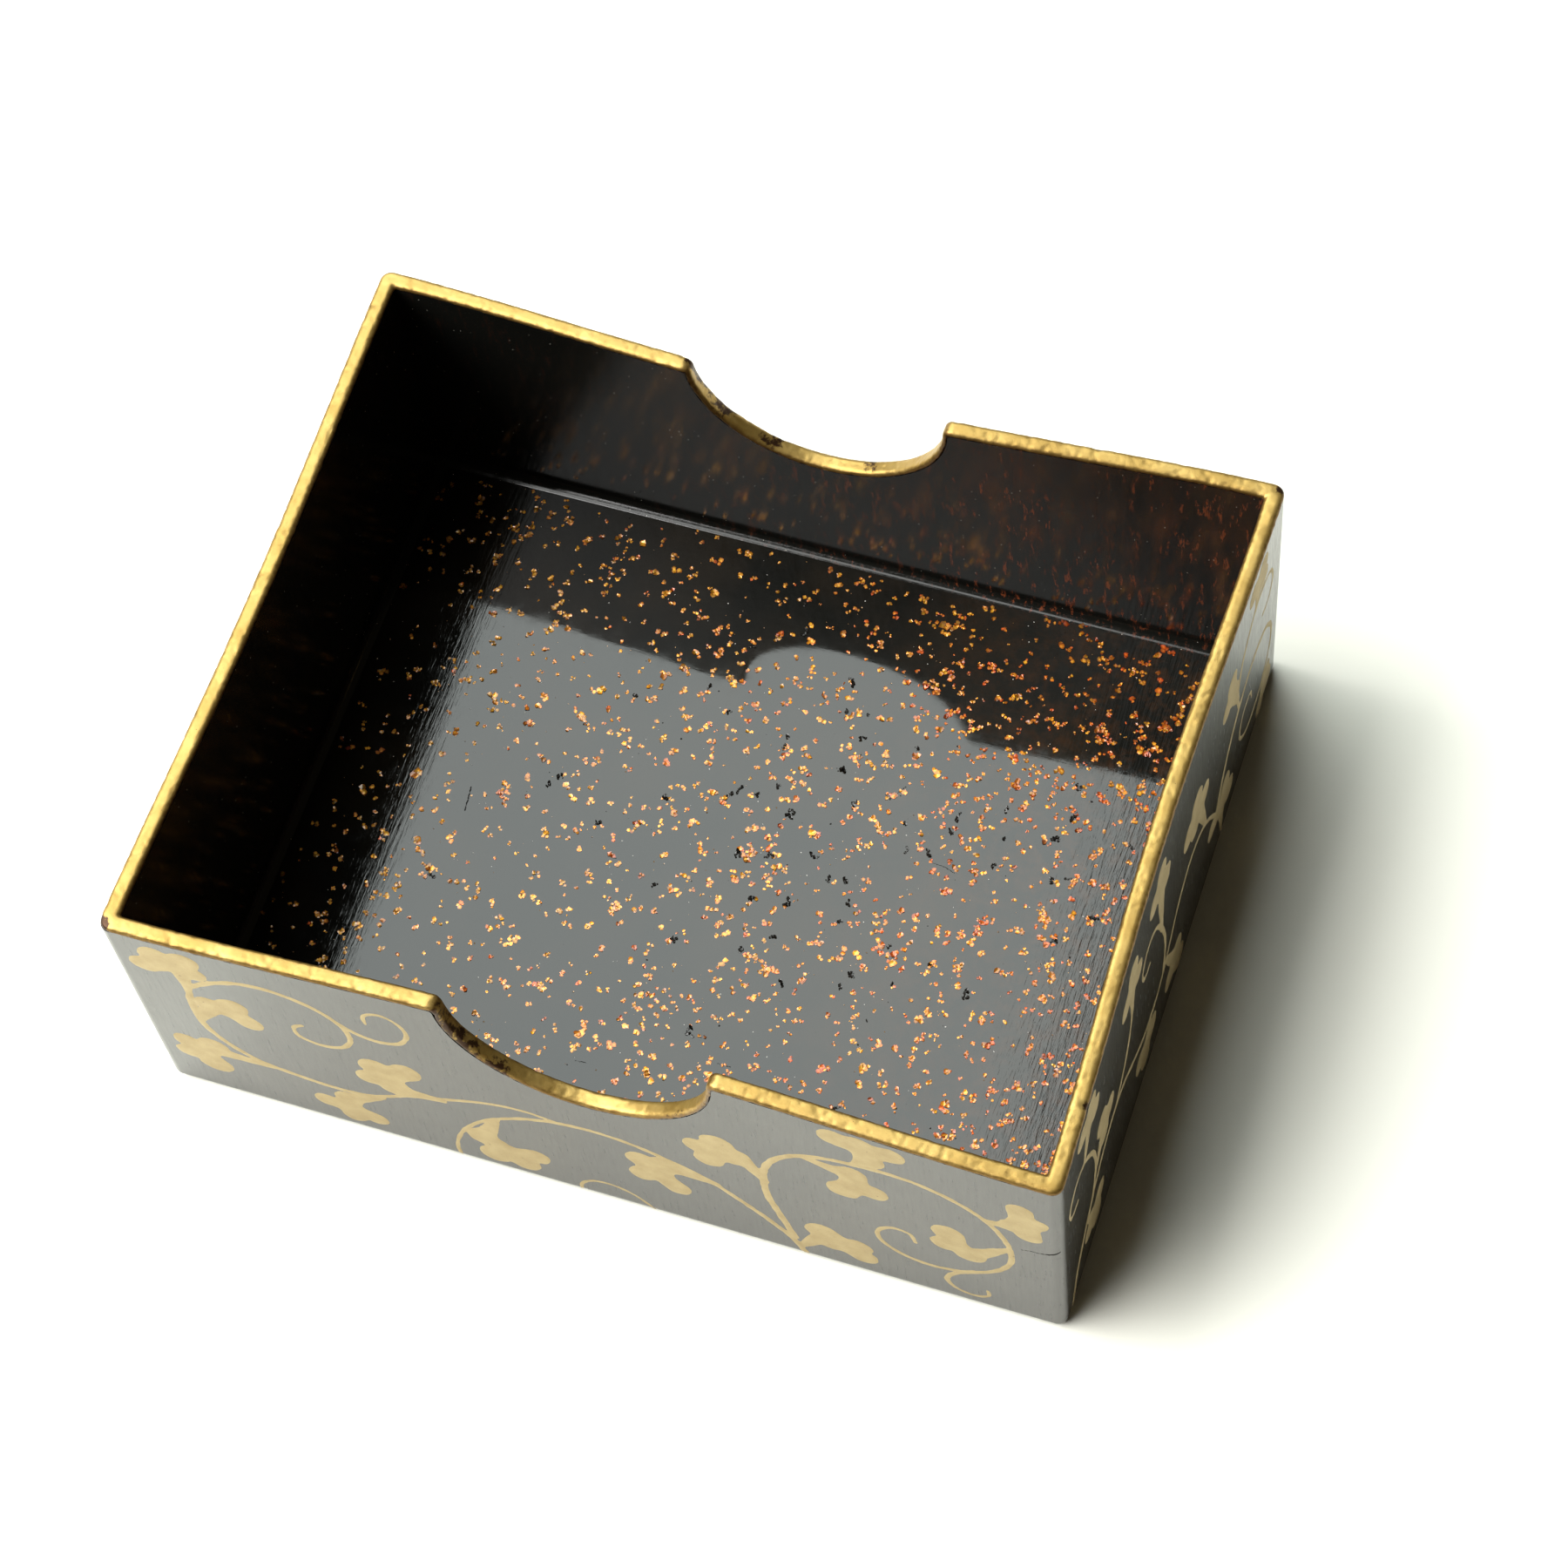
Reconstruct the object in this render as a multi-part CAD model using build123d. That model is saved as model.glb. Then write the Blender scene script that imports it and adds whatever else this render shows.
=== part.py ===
from build123d import *

import os
from math import asin, cos, pi, sin, sqrt

# A small open lacquer tray: the lower half of a card box, seen as its separate layers.
# Millimetres. The origin is the middle of the underside, +X runs along the long side,
# +Y from the front wall to the back wall, and +Z up.

# ---- driving dimensions ----
LENGTH = 88.0  # over the gold rim, along X
DEPTH = 71.5  # over the gold rim, along Y
HEIGHT = 33.25  # table to the top of the rim
RIM_WIDTH = 1.75  # the gold rim, across the wall
RIM_HEIGHT = 0.6  # how deep the rim sits on the wall's edge
RIM_LIP = 0.08  # how far the rim stands proud of the wall on each side
RIM_ROUND = 0.5  # rounding of the rim's long edges
COAT = 0.27  # thickness of each lacquer coat
FLOOR_BOARD = 1.85  # thickness of the wooden bottom
BODY_ROUND = 1.0  # rounding of the outer corners and of the bottom edge
BOARD_CHAMFER = 0.35  # the boards' bottom edge, cut back inside the rounded lacquer
CLOTH = 0.13  # thickness of the hemp strips over the corner joints
CLOTH_REACH = 8.0  # how far each strip goes round its corner
CLOTH_MARGIN = 1.2  # how far each strip stops short of the rim and of the underside
BEAD_LEG = 1.0  # the lacquered putty bead round the inside of the floor
BEAD_HOLLOW = 0.36  # middle of the bead's hollow face, as a share of its leg
NOTCH_RADIUS = 12.2  # finger notch, a half circle centred on the top edge
NOTCH_SHOULDER = 1.0  # rounding where the notch meets the top edge

# The thin walls have drawn in with age: each top edge bows towards the inside of the
# box, most at mid-length and not at all at the corners or along the floor.
DRAW_IN = {"front": 1.1, "right": 0.75, "back": 1.8, "left": 0.6}

# ---- sizes worked out from them ----
OUTSIDE = RIM_LIP  # each layer is placed by its inset from the LENGTH x DEPTH outline
BOARD_OUTSIDE = OUTSIDE + COAT
CAVITY = RIM_WIDTH - RIM_LIP
BOARD_INSIDE = CAVITY - COAT
FLOOR_UNDER = COAT + FLOOR_BOARD
FLOOR_TOP = FLOOR_UNDER + COAT
MITRE_REACH = 6.0  # how far a corner's 45 degree cut reaches in, past every layer
CLEAR = 5.0  # spare length on a tool that cuts right through


def bowed_wire(inset, z):
    """The plan outline of the walls at one inset and height, with the bows of that height."""
    x, y = LENGTH / 2 - inset, DEPTH / 2 - inset
    corners = [(-x, -y), (x, -y), (x, y), (-x, y)]
    inward = [(0, 1), (-1, 0), (0, -1), (1, 0)]
    edges = []
    for i, side in enumerate(DRAW_IN):
        start, end = Vector(*corners[i], z), Vector(*corners[(i + 1) % 4], z)
        # The middle control point of a quartic has a weight of 3/8 at mid-length.
        pull = Vector(*inward[i]) * (DRAW_IN[side] * z / HEIGHT * 8 / 3)
        points = [start + (end - start) * (k / 4) for k in range(5)]
        points[2] += pull
        edges.append(Bezier(*points))
    return Wire(edges)


def bowed_block(inset, low, high):
    """The solid inside the walls' outline at one inset, between two heights."""
    return Solid.make_loft([bowed_wire(inset, low), bowed_wire(inset, high)], ruled=True)


def lowest_edges(block, low):
    """The edges round the underside of a block."""
    return block.edges().filter_by(lambda e: max((e @ 0).Z, (e @ 0.5).Z, (e @ 1).Z) < low + 1e-6)


def rounded_block(inset, low, high, radius, underside=False):
    """A bowed block with its upright corners, and its bottom edge if asked, rounded."""
    block = bowed_block(inset, low, high)
    edges = block.edges().filter_by(lambda e: abs((e @ 0).Z - (e @ 1).Z) > 1)
    if underside:
        edges += lowest_edges(block, low)
    return block.fillet(radius, edges)


def notch_cutter(grow):
    """The finger notches as one tool along Y, and with grow, the same tool that much larger."""
    centre_x = sqrt((NOTCH_RADIUS + NOTCH_SHOULDER) ** 2 - NOTCH_SHOULDER**2)
    dip = asin(NOTCH_SHOULDER / (NOTCH_RADIUS + NOTCH_SHOULDER))
    radius, shoulder = NOTCH_RADIUS + grow, NOTCH_SHOULDER - grow
    top, above = HEIGHT - grow, HEIGHT + CLEAR
    half_turn = pi / 2 + (pi / 2 - dip) / 2
    rise = HEIGHT - NOTCH_SHOULDER
    middle = (centre_x + shoulder * cos(half_turn), rise + shoulder * sin(half_turn))
    meet = (radius * cos(dip), HEIGHT - radius * sin(dip))
    with BuildSketch(Plane.XZ) as outline:
        with BuildLine():
            ThreePointArc((centre_x, top), middle, meet)
            ThreePointArc(meet, (0, HEIGHT - radius), (-meet[0], meet[1]))
            ThreePointArc((-meet[0], meet[1]), (-middle[0], middle[1]), (-centre_x, top))
            Polyline((-centre_x, top), (-centre_x, above), (centre_x, above), (centre_x, top))
        make_face()
    return extrude(outline.sketch, DEPTH, both=True)


def mitre_wedge(side):
    """The part of the plan that belongs to one wall, between 45 degree cuts at its ends."""
    x, y = LENGTH / 2, DEPTH / 2
    along_x = side in ("front", "back")
    length, offset = (x, y) if along_x else (y, x)
    plan = [(-length, -offset), (length, -offset)]
    plan += [(length - MITRE_REACH, MITRE_REACH - offset), (MITRE_REACH - length, MITRE_REACH - offset)]
    turn = {"front": 0, "right": 90, "back": 180, "left": 270}[side]
    wedge = extrude(make_face(Polyline(*plan, close=True)), HEIGHT + CLEAR)
    return wedge.rotate(Axis.Z, turn)


def by_side(shape):
    """A ring split at its mitres, as a dictionary of its four sides."""
    return {side: shape & mitre_wedge(side) for side in DRAW_IN}


# ---- the walls' top edge ----
notch = notch_cutter(0)
under_rim = notch_cutter(RIM_HEIGHT) + Pos(0, 0, HEIGHT - RIM_HEIGHT / 2) * Box(
    LENGTH + CLEAR, DEPTH + CLEAR, RIM_HEIGHT
)


def gold_rim():
    """The rim as one ring over the walls' edges and round both notches, rounded on its long edges."""
    outer = rounded_block(0, 0, HEIGHT, BODY_ROUND + RIM_LIP)
    ring = outer - bowed_block(RIM_WIDTH, 0, HEIGHT) - notch

    def is_long(edge):
        start, end, middle = edge @ 0, edge @ 1, edge @ 0.5
        on_top = min(start.Z, end.Z, middle.Z) > HEIGHT - 1e-4
        in_notch = middle.Z > HEIGHT - NOTCH_RADIUS - 1e-3 and abs(middle.X) < NOTCH_RADIUS + NOTCH_SHOULDER
        across = in_notch and abs(start.X - end.X) < 1e-3 and abs(start.Z - end.Z) < 1e-3
        return (on_top or in_notch) and not across

    return ring.fillet(RIM_ROUND, ring.edges().filter_by(is_long)) & under_rim


# ---- the wooden core ----
core = rounded_block(BOARD_OUTSIDE, COAT, HEIGHT, BODY_ROUND - COAT)
core = core.chamfer(BOARD_CHAMFER, None, lowest_edges(core, COAT))
inside_boards = bowed_block(BOARD_INSIDE, 0, HEIGHT)
boards = by_side(core - inside_boards - under_rim)
bottom_board = bowed_block(BOARD_INSIDE, COAT, FLOOR_UNDER)

# ---- the lacquer coats ----
body = rounded_block(OUTSIDE, 0, HEIGHT, BODY_ROUND, underside=True)
below = Pos(0, 0, COAT / 2) * Box(LENGTH + CLEAR, DEPTH + CLEAR, COAT)
base_lacquer = body & below
cavity = bowed_block(CAVITY, FLOOR_UNDER, HEIGHT)
inner_lacquer = bowed_block(BOARD_INSIDE, FLOOR_UNDER, HEIGHT) - cavity - under_rim
floor_lacquer = bowed_block(CAVITY, FLOOR_UNDER, FLOOR_TOP)


def corner_cloths():
    """A hemp strip round each upright corner joint, under the outer lacquer."""
    strip_low, strip_high = CLOTH_MARGIN, HEIGHT - RIM_HEIGHT - CLOTH_MARGIN
    height = strip_high - strip_low
    sheet = rounded_block(BOARD_OUTSIDE - CLOTH, COAT, HEIGHT, BODY_ROUND - COAT + CLOTH) - core
    reach = Box(2 * CLOTH_REACH, 2 * CLOTH_REACH, height)
    corners = {"front_left": (-1, -1), "front_right": (1, -1), "back_left": (-1, 1), "back_right": (1, 1)}
    return {
        name: sheet & Pos(sx * LENGTH / 2, sy * DEPTH / 2, strip_low + height / 2) * reach
        for name, (sx, sy) in corners.items()
    }


def floor_beads():
    """The hollow-faced bead along the foot of each wall, mitred at the corners."""
    room = bowed_block(CAVITY, FLOOR_TOP, FLOOR_TOP + BEAD_LEG)
    beads = {}
    for side, reach in (("front", DEPTH), ("right", LENGTH), ("back", DEPTH), ("left", LENGTH)):
        foot = CAVITY - reach / 2
        hollow = BEAD_LEG * BEAD_HOLLOW
        with BuildSketch(Plane.YZ) as section:
            with BuildLine():
                ThreePointArc(
                    (foot + BEAD_LEG, FLOOR_TOP),
                    (foot + hollow, FLOOR_TOP + hollow),
                    (foot, FLOOR_TOP + BEAD_LEG),
                )
                Polyline(
                    (foot, FLOOR_TOP + BEAD_LEG),
                    (foot - BEAD_LEG, FLOOR_TOP + BEAD_LEG),
                    (foot - BEAD_LEG, FLOOR_TOP),
                    (foot + BEAD_LEG, FLOOR_TOP),
                )
            make_face()
        turn = {"front": 0, "right": 90, "back": 180, "left": 270}[side]
        strip = extrude(section.sketch, LENGTH / 2, both=True).rotate(Axis.Z, turn)
        beads[side] = strip & room & mitre_wedge(side)
    return beads


cloths = corner_cloths()
outer_lacquer = body - core - below - under_rim
for cloth in cloths.values():
    outer_lacquer -= cloth

# ---- every piece under its own name ----
pieces = {
    "bottom_board": bottom_board,
    "base_lacquer": base_lacquer,
    "outer_lacquer": outer_lacquer,
    "inner_lacquer": inner_lacquer,
    "floor_lacquer": floor_lacquer,
    "gold_rim": gold_rim(),
}
pieces |= {f"board_{side}": board for side, board in boards.items()}
pieces |= {f"corner_cloth_{name}": cloth for name, cloth in cloths.items()}
pieces |= {f"floor_bead_{side}": bead for side, bead in floor_beads().items()}

os.makedirs("parts", exist_ok=True)
for name, piece in pieces.items():
    export_step(piece, f"parts/{name}.step")
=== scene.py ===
import math

import bpy
import numpy as np
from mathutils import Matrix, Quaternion, Vector, noise
from mathutils.bvhtree import BVHTree


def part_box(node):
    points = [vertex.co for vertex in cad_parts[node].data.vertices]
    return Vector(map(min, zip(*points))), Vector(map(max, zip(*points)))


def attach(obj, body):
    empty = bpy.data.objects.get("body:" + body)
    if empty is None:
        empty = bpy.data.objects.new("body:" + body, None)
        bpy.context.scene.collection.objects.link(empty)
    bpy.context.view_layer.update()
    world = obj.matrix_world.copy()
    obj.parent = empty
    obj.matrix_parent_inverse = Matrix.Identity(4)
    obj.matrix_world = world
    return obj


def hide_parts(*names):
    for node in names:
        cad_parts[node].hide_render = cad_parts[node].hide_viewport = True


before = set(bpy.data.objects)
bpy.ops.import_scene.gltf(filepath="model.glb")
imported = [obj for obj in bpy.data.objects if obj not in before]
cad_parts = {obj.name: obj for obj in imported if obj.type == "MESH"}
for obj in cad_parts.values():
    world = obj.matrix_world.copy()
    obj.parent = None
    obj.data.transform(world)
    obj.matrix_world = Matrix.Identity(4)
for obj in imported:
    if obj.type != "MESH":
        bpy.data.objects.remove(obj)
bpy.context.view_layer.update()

# A small open lacquer tray with a gold rim, gold flakes in its floor and a gold vine outside.
# Everything is in metres, in the frame of the CAD model: +Y runs from the front wall to the back.

MM = 0.001
SEED = 20

rim_low, rim_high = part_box("gold_rim")
floor_low, floor_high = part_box("floor_lacquer")
wall_low, wall_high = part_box("outer_lacquer")


# ---- node helpers ----
class Shader:
    """A principled material, with short calls for the nodes that feed it."""

    def __init__(self, name, **values):
        self.material = bpy.data.materials.new(name)
        self.material.use_nodes = True
        self.tree = self.material.node_tree
        self.surface = self.tree.nodes["Principled BSDF"]
        self.place = self.add("ShaderNodeTexCoord").outputs["Object"]
        for socket, value in values.items():
            self.surface.inputs[socket.replace("_", " ")].default_value = value

    def add(self, kind, **settings):
        node = self.tree.nodes.new(kind)
        for key, value in settings.items():
            setattr(node, key, value)
        return node

    def feed(self, socket, value):
        """Links a node's output to a socket, or sets the socket to a plain value."""
        if isinstance(value, bpy.types.NodeSocket):
            self.tree.links.new(value, socket)
        else:
            socket.default_value = value

    def out(self, socket, value):
        """Feeds one of the material's own inputs."""
        self.feed(self.surface.inputs[socket], value)

    def stretched(self, scale):
        """The position in metres, times a scale for each axis."""
        node = self.add("ShaderNodeMapping")
        self.feed(node.inputs["Vector"], self.place)
        node.inputs["Scale"].default_value = scale
        return node.outputs["Vector"]

    def noise(self, per_mm, detail=3.0, roughness=0.5, stretch=(1, 1, 1)):
        """Noise with about per_mm lumps in a millimetre, along each axis times its stretch."""
        node = self.add("ShaderNodeTexNoise")
        scale = [per_mm / MM * s for s in stretch]
        self.feed(node.inputs["Vector"], self.stretched(scale))
        node.inputs["Scale"].default_value = 1.0
        node.inputs["Detail"].default_value = detail
        node.inputs["Roughness"].default_value = roughness
        return node.outputs["Fac"]

    def dots(self, per_mm):
        """The distance from the nearest of a scatter of points, about per_mm of them in a millimetre."""
        node = self.add("ShaderNodeTexVoronoi")
        self.feed(node.inputs["Vector"], self.stretched([per_mm / MM] * 3))
        node.inputs["Scale"].default_value = 1.0
        return node.outputs["Distance"]

    def across(self, axis):
        """A point's place along X or Y, in millimetres from the middle of the box."""
        node = self.add("ShaderNodeSeparateXYZ")
        self.feed(node.inputs["Vector"], self.stretched([1 / MM] * 3))
        return node.outputs[axis]

    def attribute(self, name):
        """A number or a colour that a mesh keeps for each vertex."""
        return self.add("ShaderNodeAttribute", attribute_name=name)

    def scale(self, value, from_low, from_high, to_low=0.0, to_high=1.0):
        """Maps one range to another, without going past its ends."""
        node = self.add("ShaderNodeMapRange")
        self.feed(node.inputs["Value"], value)
        limits = (from_low, from_high, to_low, to_high)
        for socket, limit in zip(("From Min", "From Max", "To Min", "To Max"), limits):
            node.inputs[socket].default_value = limit
        return node.outputs["Result"]

    def math(self, operation, first, second=0.0):
        node = self.add("ShaderNodeMath", operation=operation)
        self.feed(node.inputs[0], first)
        self.feed(node.inputs[1], second)
        return node.outputs["Value"]

    def mix(self, share, first, second):
        """A colour between two others."""
        node = self.add("ShaderNodeMix", data_type="RGBA")
        self.feed(node.inputs["Factor"], share)
        for socket, value in (("A", first), ("B", second)):
            colour = next(s for s in node.inputs if s.name == socket and s.type == "RGBA")
            self.feed(colour, value if isinstance(value, bpy.types.NodeSocket) else (*value, 1))
        return next(s for s in node.outputs if s.type == "RGBA")

    def bump(self, height, depth, below=None):
        """Bump of a real depth in metres, on top of any bump below it."""
        node = self.add("ShaderNodeBump")
        node.inputs["Strength"].default_value = 1.0
        node.inputs["Distance"].default_value = depth
        self.feed(node.inputs["Height"], height)
        if below is not None:
            self.feed(node.inputs["Normal"], below)
        return node.outputs["Normal"]


# ---- lacquers ----
def outer_lacquer():
    """Black lacquer with fine upright brush marks and a silky wear."""
    s = Shader("black_lacquer_outside", IOR=1.62)
    brush = s.noise(4.2, 4, 0.6, (1, 1, 0.07))
    haze = s.noise(0.12, 3, 0.55)
    colour = s.mix(s.scale(haze, 0.35, 0.7), (0.010, 0.010, 0.010), (0.022, 0.021, 0.019))
    s.out("Base Color", colour)
    s.out("Roughness", s.scale(brush, 0.3, 0.7, 0.17, 0.29))
    fine = s.bump(brush, 0.0036 * MM)
    s.out("Normal", s.bump(s.noise(0.25, 2), 0.02 * MM, fine))
    return s.material


def inner_lacquer():
    """Dusty black lacquer inside the walls, with brown streaks painted on, stronger to the right: a
    painted reflection of the floor's flakes.
    """
    s = Shader("black_lacquer_inside", IOR=1.5)
    streak = s.noise(1.7, 5, 0.7, (1, 1, 0.20))
    patch = s.noise(0.09, 3, 0.6)
    # Painted reflection: brown streaks that fade out to the left stand in for the floor's flakes
    # mirrored in the walls.
    brown = s.math("MULTIPLY", s.scale(streak, 0.56, 0.65), s.scale(patch, 0.36, 0.56))
    fade = s.scale(s.across("X"), -15, 18, 0.06, 1.0)
    colour = s.mix(s.math("MULTIPLY", brown, fade), (0.006, 0.006, 0.005), (0.150, 0.036, 0.012))
    dust = s.math("LESS_THAN", s.dots(0.9), 0.045)
    s.out("Base Color", s.mix(dust, colour, (0.35, 0.33, 0.28)))
    s.out("Roughness", s.scale(streak, 0.3, 0.7, 0.10, 0.22))
    s.out("Normal", s.bump(s.noise(0.5, 4, 0.6, (1, 1, 0.3)), 0.010 * MM))
    return s.material


def floor_lacquer():
    """Polished black lacquer round the flakes, with rubbing marks, deeper along the side walls."""
    s = Shader("black_lacquer_floor", IOR=1.5)
    grime = s.noise(0.08, 4, 0.6)
    black = s.mix(s.scale(grime, 0.4, 0.75), (0.005, 0.005, 0.004), (0.014, 0.010, 0.006))
    amber = s.math("MULTIPLY", s.scale(s.across("X"), 5, 40), s.scale(s.noise(0.6, 4, 0.7), 0.45, 0.7))
    s.out("Base Color", s.mix(amber, black, (0.030, 0.013, 0.005)))
    s.out("Roughness", s.scale(s.noise(0.5, 4, 0.6), 0.35, 0.75, 0.035, 0.11))
    marks = s.noise(1.8, 3, 0.6, (0.22, 1, 1))
    by_side = s.scale(s.math("ABSOLUTE", s.across("X")), 24, 38)
    side_marks = s.math("MULTIPLY", s.noise(3.2, 3, 0.6, (1, 0.10, 1)), by_side)
    rubbed = s.bump(side_marks, 0.016 * MM, s.bump(marks, 0.0016 * MM))
    s.out("Normal", s.bump(s.noise(0.09, 2), 0.02 * MM, rubbed))
    return s.material


def vine_gold():
    """Gold powder on lacquer: a matt, slightly grainy metal, worn to brown in places."""
    s = Shader("gold_powder_vine", Metallic=0.55, IOR=1.5)
    grain = s.noise(9.0, 3, 0.7)
    cloud = s.noise(0.5, 4, 0.6)
    gold = s.mix(s.scale(cloud, 0.3, 0.7), (0.36, 0.272, 0.132), (0.45, 0.355, 0.186))
    worn = s.scale(s.noise(1.3, 5, 0.7), 0.66, 0.74)
    s.out("Base Color", s.mix(worn, gold, (0.060, 0.030, 0.012)))
    s.out("Roughness", s.scale(grain, 0.3, 0.7, 0.52, 0.68))
    s.out("Normal", s.bump(grain, 0.012 * MM))
    return s.material


def dull_black():
    """The bottoms of pits, scratches and cracks, which send almost nothing back."""
    s = Shader("pitted_lacquer", Roughness=0.6, IOR=1.2)
    s.out("Base Color", s.mix(s.noise(6.0), (0.003, 0.003, 0.003), (0.010, 0.008, 0.006)))
    return s.material


def plain_wood():
    """The cypress core, seen only if the box is taken apart."""
    s = Shader("cypress_core", Roughness=0.6)
    grain = s.noise(0.6, 4, 0.6, (0.06, 1, 1))
    s.out("Base Color", s.mix(s.scale(grain, 0.3, 0.7), (0.52, 0.36, 0.20), (0.66, 0.50, 0.30)))
    s.out("Normal", s.bump(grain, 0.03 * MM))
    return s.material


def hemp_cloth():
    """The woven strips over the corner joints, hidden by the lacquer."""
    s = Shader("hemp_strip", Roughness=0.9)
    weave = s.noise(3.0, 2, 0.5, (1, 1, 0.3))
    s.out("Base Color", s.mix(weave, (0.30, 0.24, 0.16), (0.50, 0.43, 0.30)))
    s.out("Normal", s.bump(weave, 0.05 * MM))
    return s.material


def finish_piece(piece, material):
    """Adds a new piece to the scene, with its material, and fixes it to the box."""
    piece.data.materials.append(material)
    bpy.context.scene.collection.objects.link(piece)
    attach(piece, "root")


def paint(node, material):
    """Gives a CAD node's object a material in place of its own."""
    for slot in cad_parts[node].material_slots:
        slot.material = material


wood, cloth = plain_wood(), hemp_cloth()
outside, inside = outer_lacquer(), inner_lacquer()
pitted = dull_black()

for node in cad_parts:
    if node.startswith("board_") or node == "bottom_board":
        paint(node, wood)
    elif node.startswith("corner_cloth"):
        paint(node, cloth)
    elif node == "inner_lacquer" or node.startswith("floor_bead"):
        paint(node, inside)
    elif node in ("outer_lacquer", "base_lacquer"):
        paint(node, outside)
paint("floor_lacquer", floor_lacquer())


# ---- the vine scroll ----
# A drawing is in millimetres on the outside of a wall: u along the wall from its middle,
# to the right for somebody who looks at it, and z up. A stem is the points that its brush
# stroke runs through and its width at each end. A leaf is its round lobes (u, z, radius)
# and its stalk, which ends on a stem.
LONG_STEMS = [
    ([(-36.9, 28.0), (-37.2, 24.0), (-37.6, 19.5), (-37.2, 15.6), (-35.6, 12.6), (-33.2, 10.4),
      (-30.0, 9.3), (-26.5, 8.7), (-22.8, 8.9), (-20.6, 10.0), (-18.0, 11.7), (-14.5, 13.1),
      (-10.5, 14.8), (-6.8, 15.5), (-3.6, 15.0)], 0.9, 0.5),
    ([(-37.2, 24.2), (-34.6, 26.5), (-31.6, 28.1), (-28.4, 28.3), (-25.0, 26.9), (-22.7, 24.4),
      (-22.1, 21.6), (-23.2, 19.3), (-25.4, 18.5), (-27.3, 19.3), (-27.6, 21.1), (-26.7, 22.0)],
     0.8, 0.5),
    ([(-22.8, 24.6), (-21.0, 23.2), (-18.9, 22.8), (-17.0, 23.7), (-16.1, 25.9), (-16.7, 28.0),
      (-18.3, 28.9), (-19.8, 28.0), (-19.9, 26.2)], 0.7, 0.45),
    ([(-14.5, 0.4), (-14.6, 3.0), (-13.6, 6.5), (-11.8, 9.6), (-9.2, 12.1), (-5.6, 14.2),
      (-1.0, 15.3), (3.2, 15.0), (7.0, 13.7), (10.5, 11.9), (13.4, 9.2), (16.0, 6.4),
      (18.2, 3.4), (19.3, 0.5)], 0.45, 0.8),
    ([(-2.6, 0.4), (-2.4, 2.0), (-1.2, 3.4), (0.7, 3.7), (2.6, 2.9), (4.0, 1.5), (4.6, 0.4)],
     0.45, 0.4),
    ([(18.4, 4.0), (17.3, 8.4), (16.4, 12.4), (16.3, 16.4), (17.0, 20.0), (18.9, 22.9),
      (21.6, 24.7), (25.4, 25.8), (30.0, 26.1), (34.0, 24.7), (37.2, 21.8), (38.9, 17.8),
      (39.1, 13.6), (37.6, 10.2), (34.9, 7.9), (31.8, 6.9), (29.0, 7.5), (27.0, 9.4),
      (26.7, 11.7), (28.0, 13.4), (29.7, 13.2), (30.2, 11.5)], 0.85, 0.5),
    ([(35.6, 8.4), (33.7, 6.6), (32.9, 4.6), (33.6, 2.9), (35.3, 2.2), (36.7, 3.0), (36.7, 4.3)],
     0.7, 0.4),
]
LONG_LEAVES = [
    ([(-40.6, 27.3, 1.5), (-39.1, 29.8, 1.7), (-36.4, 30.1, 1.6), (-35.9, 27.7, 1.3)],
     [(-37.2, 28.0), (-37.2, 24.0)]),
    ([(-35.7, 21.3, 1.5), (-33.3, 22.1, 1.6), (-32.2, 19.2, 1.4)], [(-35.6, 20.6), (-37.4, 17.0)]),
    ([(-40.3, 10.4, 1.4), (-37.5, 10.9, 1.6), (-38.2, 6.4, 1.8), (-40.6, 7.8, 1.3)],
     [(-37.5, 9.9), (-32.0, 9.6)]),
    ([(-20.6, 16.4, 1.7), (-17.6, 17.1, 1.6), (-19.2, 12.9, 1.7), (-21.6, 13.7, 1.4)],
     [(-19.3, 12.6), (-14.6, 12.6)]),
    ([(-24.9, 6.9, 1.3), (-22.6, 3.6, 1.3), (-24.9, 2.9, 1.3), (-27.3, 5.0, 1.3)],
     [(-24.8, 6.8), (-21.0, 9.4)]),
    ([(-11.6, 6.6, 1.6), (-6.5, 5.3, 1.4), (-7.9, 3.2, 1.6), (-10.8, 3.2, 1.6)],
     [(-11.3, 7.2), (-9.6, 11.6)]),
    ([(4.3, 12.0, 1.5), (6.6, 12.2, 1.6), (7.4, 7.7, 1.4), (4.2, 8.8, 1.4)],
     [(7.2, 12.1), (11.4, 11.3)]),
    ([(12.3, 20.9, 1.7), (13.6, 18.8, 1.5), (11.2, 16.9, 1.5), (10.3, 19.2, 1.4)],
     [(14.2, 19.6), (16.4, 15.6)]),
    ([(23.6, 30.6, 1.5), (28.7, 30.5, 1.5), (26.8, 27.8, 1.4), (25.9, 30.6, 1.6)],
     [(26.6, 28.2), (25.2, 25.9)]),
    ([(24.9, 23.4, 1.5), (26.7, 20.6, 1.5), (23.9, 19.2, 1.6)], [(24.6, 23.0), (20.8, 23.8)]),
    ([(21.2, 7.2, 1.7), (24.5, 6.0, 1.5), (25.0, 3.9, 1.4), (22.0, 4.9, 1.3)],
     [(21.2, 5.8), (18.9, 2.2)]),
    ([(33.4, 16.3, 1.6), (35.3, 12.4, 1.5), (33.0, 13.5, 1.4)], [(35.6, 12.8), (38.8, 16.4)]),
    ([(40.2, 26.9, 1.3), (41.6, 24.7, 1.2), (40.9, 21.4, 1.3), (39.5, 23.0, 1.2)],
     [(40.4, 22.4), (37.2, 22.2)]),
]
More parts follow.
